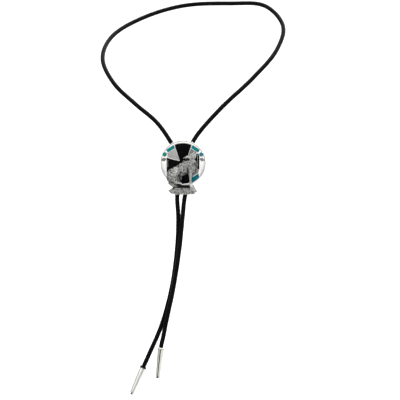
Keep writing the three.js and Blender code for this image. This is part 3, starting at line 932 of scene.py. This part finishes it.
# Outline of the rock, and the corners of the thin wall behind the legs, in the same shares. The
# wall is a dark sheet that stands for the shadow in the gap between the legs.
ROCK_OUTLINE = [
    (-0.34, 0.1), (-0.274, 0.029), (-0.14, 0), (0.21, 0.005), (0.283, 0.048),
    (0.316, 0.081), (0.274, 0.167), (0.214, 0.248), (0.155, 0.152), (-0.05, 0.15), (-0.229, 0.157),
]
ROCK_THICKNESS = 2.6 * MM
ROCK_ROUND = 0.6 * MM
SHADOW_WEB_CORNERS = [(-0.155, 0.12), (0.176, 0.225)]
WEB_THICKNESS = 0.8 * MM
WEB_ROUND = 0.1 * MM

CASTING_VOXEL = 0.18 * MM
SMOOTHING = 0.5
SMOOTHING_ROUNDS = 4
LIMB_SIDES = 32
LIMB_ARC_STEPS = 8
LIMB_BLEND = 0.25 * MM
STEEPEST_TAPER = 0.99

# Fur: locks, the hairs drawn on them, and the sizes at which the locks drift out of line.
LOCK_LENGTH = 2.1 * MM
LOCK_WIDTH = 0.78 * MM
LOCK_HEIGHT = 0.32 * MM
LOCK_TONES = 0.9
SHORT_LOCKS = 0.6
DRIFT_ACROSS = 1.9 * MM
DRIFT_ALONG = 1.3 * MM
HAIR_LENGTH = 2.2 * MM
HAIR_WIDTH = 0.28 * MM
BARE_SINK = 0.06 * MM

# Rock: its layers, crags and grain, and the heights below which it is sure and above which it ends.
STRATUM = 1.3 * MM
STRATUM_DEPTH = 0.32 * MM
STRATUM_BEND = 4.0 * MM
CRAG_SIZE = 0.7 * MM
GRAIN_SIZE = 0.45 * MM
ROCK_SURE = 0.165
ROCK_END = 0.255

# Where the rock's layers start to lean down to the right, and how steeply.
SLAB_START = 0.12
SLAB_SLOPE = 0.9

# The relief fades in, and the painted shade of the low parts near the plate fades out, over these
# heights above the figure's back.
RELIEF_FADE = 0.4 * MM
LOW_SHADE_FADE = 2.4 * MM

# Darkness: of a surface with no relief, how much relief takes off it, and what else adds to it:
# the stone's own tone, and painted shade in the cuts and on the low parts near the plate.
DARK_LEVEL = 1.19
DARK_SLOPE = 1.45
STONE_DARK = 0.34
CUT_SHADE = 0.9
LOW_SHADE = 0.6

# Cuts: [from, to, half width in shares, depth], for the mouth, the eye, the notch under the ear
# and the lines between the limbs. Each cut is also darkened with painted shade.
CUTS = [
    ((0.243, 0.9), (0.3, 0.96), 0.012, 0.9 * MM),
    ((0.183, 0.868), (0.2, 0.88), 0.012, 0.5 * MM),
    ((0.03, 0.792), (0.125, 0.795), 0.02, 1.6 * MM),
    ((0.105, 0.83), (0.035, 0.816), 0.010, 0.4 * MM),
    ((-0.09, 0.435), (-0.06, 0.33), 0.013, 0.7 * MM),
    ((-0.3, 0.285), (-0.2, 0.255), 0.012, 0.7 * MM),
    ((-0.19, 0.232), (-0.03, 0.222), 0.012, 0.9 * MM),
    ((0.1, 0.6), (0.115, 0.5), 0.012, 0.6 * MM),
    ((0.236, 0.245), (0.246, 0.19), 0.010, 0.6 * MM),
    ((-0.3, 0.15), (-0.2, 0.156), 0.012, 0.5 * MM),
]

# Painted light and shade, partly also wear: [from, to, half width in shares, how much darker or,
# below zero, brighter]. The dark strokes are painted shade: on the thin wall behind the legs, along
# the belly, where the thigh meets the belly, and at the edges of the chest and rump. The bright
# strokes are painted highlights and rubbed wear on the muzzle, the ear's upper edge, the foreleg,
# the hind paw, the thigh and the rock's slab.
PAINTED_LIGHT_AND_WEAR = [
    ((-0.1, 0.19), (0.13, 0.19), 0.03, 0.9),
    ((-0.05, 0.47), (0.11, 0.5), 0.06, 0.4),
    ((-0.1, 0.42), (-0.07, 0.3), 0.04, 0.35),
    ((0.29, 0.68), (0.29, 0.56), 0.03, 0.4),
    ((-0.37, 0.45), (-0.35, 0.3), 0.03, 0.4),
    ((0.17, 0.89), (0.26, 0.96), 0.05, -0.7),
    ((0.12, 0.86), (0.035, 0.84), 0.02, -0.9),
    ((0.17, 0.5), (0.175, 0.22), 0.03, -0.5),
    ((-0.14, 0.26), (-0.05, 0.25), 0.025, -0.6),
    ((-0.25, 0.4), (-0.16, 0.5), 0.06, -0.15),
    ((0.22, 0.2), (0.28, 0.1), 0.04, -0.4),
]


def on_figure(rows):
    return [(x * FIGURE_HEIGHT, y * FIGURE_HEIGHT - FIGURE_DROP) for x, y in rows]


def capsule(start, end, radii, lift, form):
    """Two balls and the cone that touches both, flattened, and flat where it meets the plate."""
    near, far = (share * FIGURE_HEIGHT for share in radii)
    origin = Vector((start[0] * FIGURE_HEIGHT, start[1] * FIGURE_HEIGHT))
    span = Vector((end[0] * FIGURE_HEIGHT, end[1] * FIGURE_HEIGHT)) - origin
    taper = (near - far) / span.length
    slope = math.asin(max(-STEEPEST_TAPER, min(STEEPEST_TAPER, taper)))
    balls = [(near, 0, -math.pi / 2, slope), (far, span.length, slope, math.pi / 2)]
    profile = []
    for radius, centre, low, high in balls:
        for k in range(LIMB_ARC_STEPS + 1):
            t = low + (high - low) * k / LIMB_ARC_STEPS
            profile.append((max(0.0, radius * math.cos(t)), centre + radius * math.sin(t)))
    profile[0] = (0, profile[0][1])
    profile[-1] = (0, profile[-1][1])
    points, faces = lathe(profile, LIMB_SIDES)
    along = span.normalized()
    across = Vector((along.y, -along.x))
    verts = []
    for x, y, z in points:
        spot = origin + across * x + along * z
        level = FIGURE_BACK + lift * FIGURE_HEIGHT + y * FIGURE_FLATNESS
        verts.append((spot.x, spot.y - FIGURE_DROP, max(FIGURE_BACK, level)))
    form.add(verts, faces)


def fused(form, voxel):
    """Joins the overlapping solids of a form into one skin of even small faces."""
    mesh = bpy.data.meshes.new("fused")
    mesh.from_pydata(form.points, [], form.faces)
    obj = placed("fused", mesh)
    remesh = obj.modifiers.new("remesh", "REMESH")
    remesh.mode = "VOXEL"
    remesh.voxel_size = voxel
    smooth = obj.modifiers.new("smooth", "SMOOTH")
    smooth.factor = SMOOTHING
    smooth.iterations = SMOOTHING_ROUNDS
    result = baked(obj)
    bpy.data.meshes.remove(mesh)
    return result


def segment_distance(spots, start, end):
    """Distance of each spot from a segment, and how far along it its foot lies, 0 to 1."""
    span = end - start
    t = np.clip(((spots - start) @ span) / (span @ span), 0, 1)
    foot = start + t[:, None] * span
    return np.linalg.norm(spots - foot, axis=1), t


def strokes(rows, spots):
    """How much each stroke covers each spot, 0 to 1, and the stroke's amount."""
    for start, end, width, amount in rows:
        start, end = (np.array(p) * FIGURE_HEIGHT for p in (start, end))
        away, _ = segment_distance(spots, start, end)
        yield np.exp(-((away / (width * FIGURE_HEIGHT)) ** 2)), amount


def fur(spots, start, end, size):
    """Height of overlapping pointed locks that run from start to end, 0 to 1.2, and a tone for
    each lock, 0 to 1."""
    along = (end - start) / np.linalg.norm(end - start)
    across = np.array([along[1], -along[0]])
    flat = np.stack([spots[:, 0], spots[:, 1], np.zeros(len(spots))], axis=1)
    sideways = noise(flat / DRIFT_ACROSS, 3) - 0.5
    lengthways = noise(flat / DRIFT_ALONG, 7) - 0.5
    a = ((spots - start) @ across) / (LOCK_WIDTH * size) + 2.2 * sideways
    column = np.floor(a)
    cell = np.stack([column, column * 0 + 2, column * 0 + 5], axis=1)
    b = ((spots - start) @ along) / (LOCK_LENGTH * size) + 1.7 * lengthways
    b = b + hashed(cell, 11) * 0.9 + 0.5 * (column % 2)
    fa = 2 * (a - column) - 1
    fb = b - np.floor(b)
    body = np.clip(1.15 - fb ** 3 * 0.9 - np.abs(fa) ** (2.2 - 1.2 * fb) * (0.5 + 0.7 * fb), 0, 1)
    tone = hashed(np.stack([column, np.floor(b), column * 0 + 9], axis=1), 13)
    return body * (0.45 + 0.55 * np.sqrt(fb + 0.02)) * 1.2, tone


def coat(spots, level):
    """The height and tone of the fur at each spot, its shares of stone and of bare skin, and its
    place along and across the hairs of the nearest limb."""
    weight, height, tones, stone, bare = np.zeros((5, len(spots)))
    hairs = np.zeros((len(spots), 3))
    nearest = np.full(len(spots), np.inf)
    for name, start, end, radii, lift in FIGURE_LIMBS + FIGURE_DETAILS:
        start, end = (np.array(p) * FIGURE_HEIGHT for p in (start, end))
        away, t = segment_distance(spots, start, end)
        radius = (radii[0] + (radii[1] - radii[0]) * t) * FIGURE_HEIGHT
        rise = (level - FIGURE_BACK - lift * FIGURE_HEIGHT) / FIGURE_FLATNESS
        gap = np.sqrt(away ** 2 + rise ** 2) - radius
        share = np.exp(-np.clip(gap, 0, None) / LIMB_BLEND)
        lock, tone = fur(spots, start, end, SHORT_LOCKS if name in SHORT_HAIRED else 1.0)
        weight += share
        height += share * lock
        tones += share * tone
        stone += share * (name in STONE)
        bare += share * (name in BARE)
        along = (end - start) / np.linalg.norm(end - start)
        lengthways = (spots - start) @ along / HAIR_LENGTH
        sideways = (spots - start) @ np.array([along[1], -along[0]]) / HAIR_WIDTH
        closer = gap < nearest
        hairs[closer] = np.stack([lengthways, sideways, level / HAIR_WIDTH], axis=1)[closer]
        nearest = np.minimum(nearest, gap)
    weight = weight + 1e-6
    bare = np.clip(bare / weight, 0, 1)
    tones = (tones / weight - 0.5) * LOCK_TONES * (1 - bare)
    stone = np.clip(stone / weight + (spots[:, 1] < ROCK_SURE * FIGURE_HEIGHT) * 0.8, 0, 1)
    stone = np.clip(stone - (spots[:, 1] > ROCK_END * FIGURE_HEIGHT), 0, 1)
    return height / weight, tones, stone, bare, hairs


def cast_mesh():
    """Limbs, details, rock and the thin wall behind the legs that stands for their shadow, joined into
    one skin.
    """
    form = Form()
    for _, start, end, radii, lift in FIGURE_LIMBS + FIGURE_DETAILS:
        capsule(start, end, radii, lift, form)
    rock = on_figure(ROCK_OUTLINE)
    form.add_mesh(slab([rock], FIGURE_BACK, FIGURE_BACK + ROCK_THICKNESS, ROCK_ROUND, 3))
    (x0, y0), (x1, y1) = on_figure(SHADOW_WEB_CORNERS)
    shadow_web = [(x0, y0), (x1, y0), (x1, y1), (x0, y1)]
    form.add_mesh(slab([shadow_web], FIGURE_BACK, FIGURE_BACK + WEB_THICKNESS, WEB_ROUND))
    return fused(form, CASTING_VOXEL)


def per_vertex(mesh, name):
    rows = np.empty(len(mesh.vertices) * 3)
    mesh.vertices.foreach_get(name, rows)
    return rows.reshape(-1, 3)


def make_wolf(material):
    mesh = cast_mesh()
    points = per_vertex(mesh, "co")
    normals = per_vertex(mesh, "normal")
    spots = points[:, :2] + np.array([0, FIGURE_DROP])
    level = points[:, 2]
    height, tones, stone, bare, hairs = coat(spots, level)

    flat = np.stack([spots[:, 0], spots[:, 1], level], axis=1)
    beyond = np.clip(spots[:, 0] - SLAB_START * FIGURE_HEIGHT, 0, None)
    layer = (spots[:, 1] + SLAB_SLOPE * beyond) / STRATUM + 2.2 * (noise(flat / STRATUM_BEND, 21) - 0.5)
    strata = np.abs((layer - np.floor(layer)) * 2 - 1) ** 0.6
    crags = 0.4 + 0.22 * strata + 0.42 * noise(flat / CRAG_SIZE, 31)
    fine = noise(flat / GRAIN_SIZE, 41)
    relief = (1 - stone) * height * (1 - 0.85 * bare) + stone * crags + 0.15 * (fine - 0.5)
    amount = LOCK_HEIGHT * (1 - stone) + STRATUM_DEPTH * stone
    shift = amount * (relief - 0.75) - BARE_SINK * bare * (1 - stone)
    # How far each point lies in a cut, for the painted shade there.
    deep = np.zeros(len(points))
    for cut, depth in strokes(CUTS, spots):
        shift = shift - depth * cut * np.clip(normals[:, 2], 0, 1)
        deep = np.maximum(deep, cut)
    front = np.clip((level - FIGURE_BACK) / RELIEF_FADE, 0, 1)
    moved = points + normals * (shift * front)[:, None]
    moved[:, 2] = np.maximum(moved[:, 2], FIGURE_BACK)

    dark = np.clip(DARK_LEVEL - DARK_SLOPE * relief + tones * (1 - stone), 0, 1) * (1 - 0.75 * bare)
    dark = dark + STONE_DARK * stone
    # Painted shade on the low parts, near the plate.
    low = np.clip(1 - (level - FIGURE_BACK) / LOW_SHADE_FADE, 0, 1)
    # Painted shade in the cuts and on the low parts near the plate.
    dark = dark + CUT_SHADE * deep + LOW_SHADE * low
    # Painted light and shade, and wear, from the strokes above.
    for cover, amount in strokes(PAINTED_LIGHT_AND_WEAR, spots):
        dark = dark + amount * cover
    dark = np.clip(dark, 0, 1)
    dark[normals[:, 2] < -0.5] = BACK_TARNISH
    mesh.vertices.foreach_set("co", moved.reshape(-1))
    form = Form()
    form.add_mesh(mesh, dark.tolist())
    wolf = piece("wolf_casting", form, SLIDE, material, ["wolf_figure"], crease=75)
    layer = wolf.data.attributes.new("hairs", "FLOAT_VECTOR", "POINT")
    layer.data.foreach_set("vector", hairs.astype(np.float32).reshape(-1))


make_wolf(pewter_look())


# Clip on the back: two tubes in one flat-backed body, on a thin pad of solder.
clip_low, clip_high = (Vector(corner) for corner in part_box("slide_clip"))
TUBE_SPACING = 9.0 * MM
BORE_CLEARANCE = 0.6 * MM
CLIP_SIDES = 24
CLIP_ROUND = 0.25 * MM
PAD_INSET = 1.2 * MM
PAD_ROUND = 0.05 * MM
PAD_TARNISH = 0.4


def make_clip(material):
    form = Form()
    half = (clip_high.y - clip_low.y) / 2
    reach = TUBE_SPACING / 2
    bore = CORD_DIAMETER / 2 + BORE_CLEARANCE
    outline = []
    for side in (1, -1):
        for k in range(CLIP_SIDES + 1):
            t = -math.pi / 2 + math.pi * k / CLIP_SIDES
            outline.append((side * (reach + half * math.cos(t)), side * half * math.sin(t)))
    bores = [circle(side * reach, 0, bore, 2 * CLIP_SIDES)[::-1] for side in (-1, 1)]
    form.add_mesh(slab([outline] + bores, clip_low.z, clip_high.z, CLIP_ROUND, 3))
    back = -half - (clip_low.y - plate_high.y)
    front = -half + PAD_INSET / 4
    pad = [(-reach, back), (reach, back), (reach, front), (-reach, front)]
    low, high = clip_low.z + PAD_INSET, clip_high.z - PAD_INSET
    form.add_mesh(slab([pad], low, high, PAD_ROUND), PAD_TARNISH)
    place = Matrix.Translation((DISC_CENTRE.x, (clip_low.y + clip_high.y) / 2, 0))
    piece("two_tube_clip", form, place, material, ["slide_clip"])


make_clip(BRUSHED)


# Tips: rolled metal cones with a seam, a lip at the mouth and a flared end with a small hole.
TIP_LENGTH = 29.0 * MM
TIP_CLEARANCE = 0.3 * MM
TIP_WALL = 0.75 * MM
TIP_SOCKET_DEPTH = 8.6 * MM
TIP_CORD_INSET = 8.2 * MM
TIP_LIP_HEIGHT = 1.0 * MM
TIP_LIP_PROUD = 0.25 * MM
TIP_WAIST_RADIUS = 2.1 * MM
TIP_END_RADIUS = 2.6 * MM
TIP_END_HEIGHT = 1.6 * MM
TIP_HOLE_RADIUS = 1.0 * MM
TIP_SIDES = 144
TIP_ROWS = 24
SEAM_HALF_ANGLE = 0.2
SEAM_DEPTH = 0.3 * MM
FLARE_ROWS = 12
DIMPLE_RADIUS = 1.05 * MM
DIMPLE_DEPTH = 0.12 * MM
DIMPLE_INSET = 1.15 * MM

# Lines along a tip: [turn from the front, half width as a turn, darkness]. The strong ones at the
# sides, at -1.36 and 1.4, are painted shade that darkens the tip's edges; the others are faint lines
# of tarnish.
TIP_STREAKS_AND_EDGE_SHADE = [
    (-1.36, 0.16, 0.55),
    (-0.75, 0.08, 0.06),
    (0.7, 0.08, 0.08),
    (1.0, 0.1, 0.12),
    (1.4, 0.17, 0.5),
    (2.1, 0.1, 0.3),
    (3.0, 0.14, 0.4),
    (-2.2, 0.12, 0.35),
]


def off_seam(turn):
    """A turn brought between half a turn back and half a turn on."""
    return (turn + math.pi) % (2 * math.pi) - math.pi


def tip_profile():
    """[radius, height] pairs of a tip, and the rows at which its taper and its flare start."""
    bore = CORD_DIAMETER / 2 + TIP_CLEARANCE
    mouth = bore + TIP_WALL
    lip = mouth + TIP_LIP_PROUD
    profile = [
        (bore, 0.1 * MM),
        (bore + 0.1 * MM, 0),
        (lip - 0.15 * MM, 0),
        (lip, 0.15 * MM),
        (lip, TIP_LIP_HEIGHT - 0.15 * MM),
        (lip - 0.08 * MM, TIP_LIP_HEIGHT),
        (mouth + 0.02 * MM, TIP_LIP_HEIGHT + 0.1 * MM),
    ]
    taper_row = len(profile)
    low, high = TIP_LIP_HEIGHT + TIP_LIP_PROUD, TIP_LENGTH - TIP_END_HEIGHT
    for k in range(TIP_ROWS + 1):
        t = k / TIP_ROWS
        profile.append((mouth + (TIP_WAIST_RADIUS - mouth) * t, low + (high - low) * t))
    flare_row = len(profile)
    for k in range(1, FLARE_ROWS):
        t = k / FLARE_ROWS
        swell = min(1.0, 2 * t) ** 1.6
        reach = TIP_WAIST_RADIUS + (TIP_END_RADIUS - TIP_WAIST_RADIUS) * swell
        profile.append((reach, TIP_LENGTH - TIP_END_HEIGHT * (1 - t)))
    profile += [
        (TIP_END_RADIUS - 0.15 * MM, TIP_LENGTH),
        (TIP_HOLE_RADIUS + 0.1 * MM, TIP_LENGTH),
        (TIP_HOLE_RADIUS, TIP_LENGTH - 0.1 * MM),
        (TIP_HOLE_RADIUS, TIP_SOCKET_DEPTH + bore),
        (bore, TIP_SOCKET_DEPTH),
    ]
    return profile, taper_row, flare_row


def make_tip(side, route, seam_turn, seam_shade, lip_painted_shade, material):
    """A tip on the end where the route starts. The seam's turn is measured round the tip from the
    slide's face, seam_shade is the painted shade in the seam, and lip_painted_shade is the painted
    shade of the lip and of the step behind it."""
    profile, taper_row, flare_row = tip_profile()

    def dimple(turn, height):
        across = off_seam(turn + seam_turn) * TIP_END_RADIUS
        away = math.hypot(across, height - (TIP_LENGTH - DIMPLE_INSET))
        return math.exp(-((away / DIMPLE_RADIUS) ** 4))

    def groove(turn, height):
        if height <= TIP_LIP_HEIGHT or height >= TIP_LENGTH - 0.05 * TIP_END_HEIGHT:
            return 0
        seam = SEAM_DEPTH * math.exp(-((off_seam(turn) / SEAM_HALF_ANGLE) ** 4))
        return max(seam, DIMPLE_DEPTH * dimple(turn, height))

    def shade(row, turn):
        # Painted shade: full inside the mouth's bore and the end hole, lip_painted_shade on the lip, and in
        # the seam, the dimple and along the edges.
        if row == 0 or row >= len(profile) - 3:
            return 1.0
        if row in (taper_row - 1, taper_row):
            return lip_painted_shade[1]
        if row < taper_row:
            return lip_painted_shade[0]
        if row >= flare_row + FLARE_ROWS:
            return 0.0
        shades = [seam_shade * math.exp(-((off_seam(turn) / SEAM_HALF_ANGLE) ** 4))]
        shades.append(dimple(turn, profile[row][1]))
        for at, width, depth in TIP_STREAKS_AND_EDGE_SHADE:
            streak = off_seam(off_seam(turn) + seam_turn - at) / width
            shades.append(depth * math.exp(-(streak**2)))
        return max(shades)

    turns = [2 * math.pi * j / TIP_SIDES for j in range(TIP_SIDES)]
    dark = [shade(row, turn) for row in range(len(profile)) for turn in turns]
    form = Form()
    form.add(*lathe(profile, TIP_SIDES, groove), dark)
    end, before = Vector(route[0]), Vector(route[1])
    along = (end - before).normalized()
    face = Vector((0, -1, 0))
    face = (face - along * face.dot(along)).normalized()
    ahead = face * math.cos(seam_turn) + along.cross(face) * math.sin(seam_turn)
    place = Matrix((ahead, along.cross(ahead), along)).transposed().to_4x4()
    place.translation = end - along * TIP_CORD_INSET
    return piece(f"tapered_tip_{side}", form, place, material, [f"tip_{side}"])


TIP_STREAKING = (5200, 5200, 260)
TIP_GLOSS = (0.12, 0.30)
TIP_EDGE = 0.35
BRIGHT_TIP = silver_look(
    "tip_silver", TIP_STREAKING, ((0.70, 0.70, 0.65), (0.94, 0.94, 0.91)), TIP_GLOSS, TIP_EDGE
)
DULL_TIP = silver_look(
    "tip_silver_dull", TIP_STREAKING, ((0.72, 0.72, 0.64), (0.95, 0.95, 0.88)), TIP_GLOSS, TIP_EDGE
)
tip_left = make_tip("left", CORD_ROUTE, -0.35, 0.6, (1.0, 1.0), BRIGHT_TIP)
tip_right = make_tip("right", CORD_ROUTE[::-1], 0.12, 1.0, (0.0, 0.5), DULL_TIP)


# Floor and backdrop in one pale sweep, well below and behind the tie.
FLOOR_Z = -0.62
FLOOR_FRONT_Y = -9.0
SWEEP_START_Y = 0.9
SWEEP_RADIUS = 0.9
SWEEP_STEPS = 16
BACKDROP_TOP = 2.4
STAGE_HALF_WIDTH = 9.0
FLOOR_TONE = 0.56
WALL_TONE = 0.84

# Brightness of the studio in front, behind and above, and at the sides, with how far round
# each holds.
WORLD_MIDDLE = (0.25, (1.12, 1.12, 1.12))
WORLD_SIDES = (0.9, (0.44, 0.45, 0.46))

# Lamps: [name, place, what it points at, size, watts].
TIE_MIDDLE = (0.0, -0.1, -0.18)
LAMPS = [
    ("key", (0.9, -1.1, 1.0), TIE_MIDDLE, (0.5, 0.5), 8),
    ("fill", (-1.3, -1.3, 0.3), TIE_MIDDLE, (1.2, 1.2), 4),
    ("top", (0.0, 0.1, 1.5), TIE_MIDDLE, (1.4, 1.0), 8),
    ("rim", (0.7, 0.35, 0.5), (0.09, -0.03, 0), (0.2, 0.2), 6),
    ("back_wash", (0.0, 0.9, 1.9), (0, 1.8, 0), (2.5, 1.0), 60),
]


def make_stage():
    rows = [(FLOOR_FRONT_Y, FLOOR_Z), (SWEEP_START_Y, FLOOR_Z)]
    for k in range(1, SWEEP_STEPS + 1):
        t = (math.pi / 2) * k / SWEEP_STEPS
        rise = SWEEP_RADIUS * (1 - math.cos(t))
        rows.append((SWEEP_START_Y + SWEEP_RADIUS * math.sin(t), FLOOR_Z + rise))
    rows.append((SWEEP_START_Y + SWEEP_RADIUS, BACKDROP_TOP))
    points = []
    for y, z in rows:
        points += [(-STAGE_HALF_WIDTH, y, z), (STAGE_HALF_WIDTH, y, z)]
    faces = [(2 * i, 2 * i + 1, 2 * i + 3, 2 * i + 2) for i in range(len(rows) - 1)]
    mesh = bpy.data.meshes.new("backdrop")
    mesh.from_pydata(points, [], faces)
    mesh.shade_smooth()
    look = Look("backdrop")
    look.set(Roughness=0.9, Specular_IOR_Level=0.1)
    depth = look.node("ShaderNodeSeparateXYZ", Vector=look.place)
    tone = look.ramp(depth.outputs["Y"], [(0.3, FLOOR_TONE), (0.9, WALL_TONE)])
    clouds = look.ramp(look.noise(3, 2), [(0.3, 0.96), (0.7, 1.0)])
    look.link(look.mix(1.0, tone, clouds, "MULTIPLY"), "Base Color")
    mesh.materials.append(look.material)
    placed("backdrop", mesh)


def area_light(name, place, target, size, power):
    data = bpy.data.lights.new(name, "AREA")
    data.shape = "RECTANGLE"
    data.size, data.size_y = size
    data.energy = power
    light = placed(name, data)
    light.location = place
    direction = Vector(target) - Vector(place)
    light.rotation_euler = direction.to_track_quat("-Z", "Y").to_euler()


def make_world():
    world = bpy.data.worlds.new("studio")
    world.use_nodes = True
    nodes, links = world.node_tree.nodes, world.node_tree.links
    split = nodes.new("ShaderNodeSeparateXYZ")
    links.new(nodes.new("ShaderNodeTexCoord").outputs["Generated"], split.inputs["Vector"])
    ramp = nodes.new("ShaderNodeValToRGB")
    for element, (at, colour) in zip(ramp.color_ramp.elements, (WORLD_MIDDLE, WORLD_SIDES)):
        element.position = at
        element.color = (*colour, 1)
    sideways = nodes.new("ShaderNodeMath")
    sideways.operation = "ABSOLUTE"
    links.new(split.outputs["X"], sideways.inputs[0])
    links.new(sideways.outputs["Value"], ramp.inputs["Fac"])
    links.new(ramp.outputs["Color"], nodes["Background"].inputs["Color"])
    bpy.context.scene.world = world


make_stage()
for lamp in LAMPS:
    area_light(*lamp)
make_world()
bpy.context.scene.view_settings.view_transform = "Standard"
